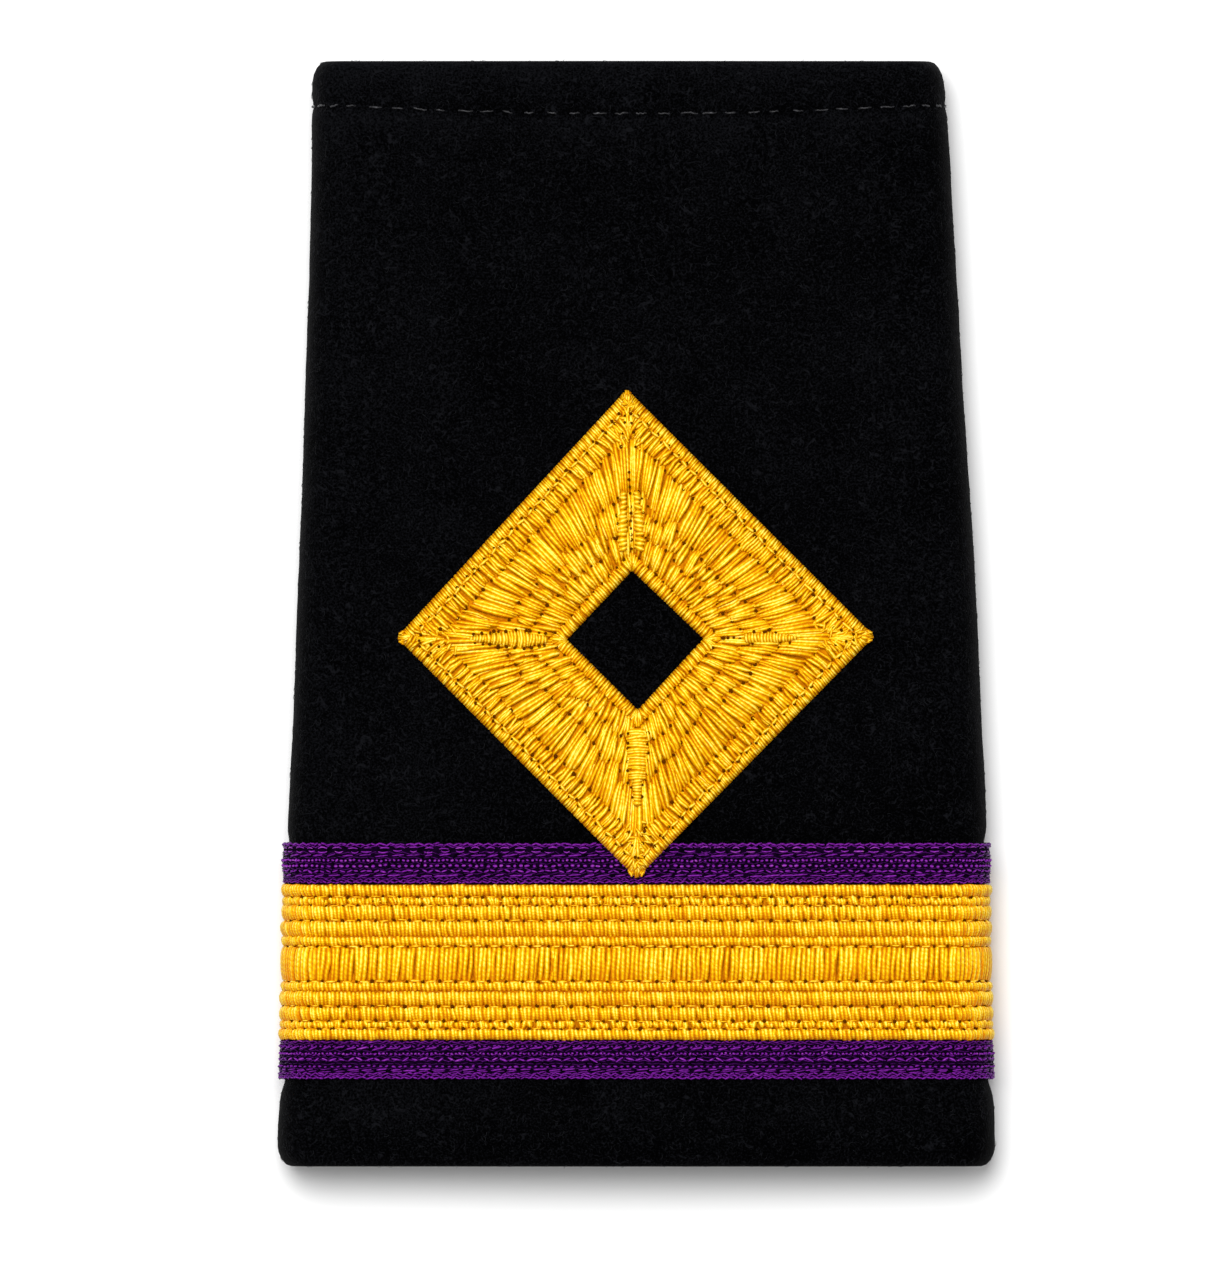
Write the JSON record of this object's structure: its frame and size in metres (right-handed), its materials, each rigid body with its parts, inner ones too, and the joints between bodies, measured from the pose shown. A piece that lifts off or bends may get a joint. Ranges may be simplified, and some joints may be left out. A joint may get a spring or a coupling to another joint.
{
  "type": "rank badge",
  "caption": "Slip-on shoulder rank badge: black felted cloth sleeve with a gold embroidered open diamond over a gold lace band edged in purple.",
  "frame": {"origin": "centre of the badge's outline where it lies, on the plane it rests on", "axes": "+Z out of the decorated front; +Y along the sleeve to the narrow end, which sits towards the collar; +X to the right as the front is looked at"},
  "size_m": [0.065, 0.1, 0.0113],
  "materials": {
    "black_felted_wool": "matte, short felted nap",
    "purple_braid": "rows of twisted rayon stitches, low sheen",
    "gold_lace": "ribbed rayon, glossy threads",
    "gold_thread": "padded satin stitch, glossy threads"
  },
  "bodies": {
    "root": {"cloth_sleeve": "black_felted_wool", "upper_purple_band": "purple_braid", "gold_lace_band": "gold_lace", "lower_purple_band": "purple_braid", "diamond_outer_border": "gold_thread", "diamond_inner_border": "gold_thread", "limb_upper_right": "gold_thread", "limb_lower_right": "gold_thread", "limb_lower_left": "gold_thread", "limb_upper_left": "gold_thread", "mitre_right": "gold_thread", "mitre_bottom": "gold_thread", "mitre_left": "gold_thread", "mitre_top": "gold_thread"}
  },
  "joints": []
}
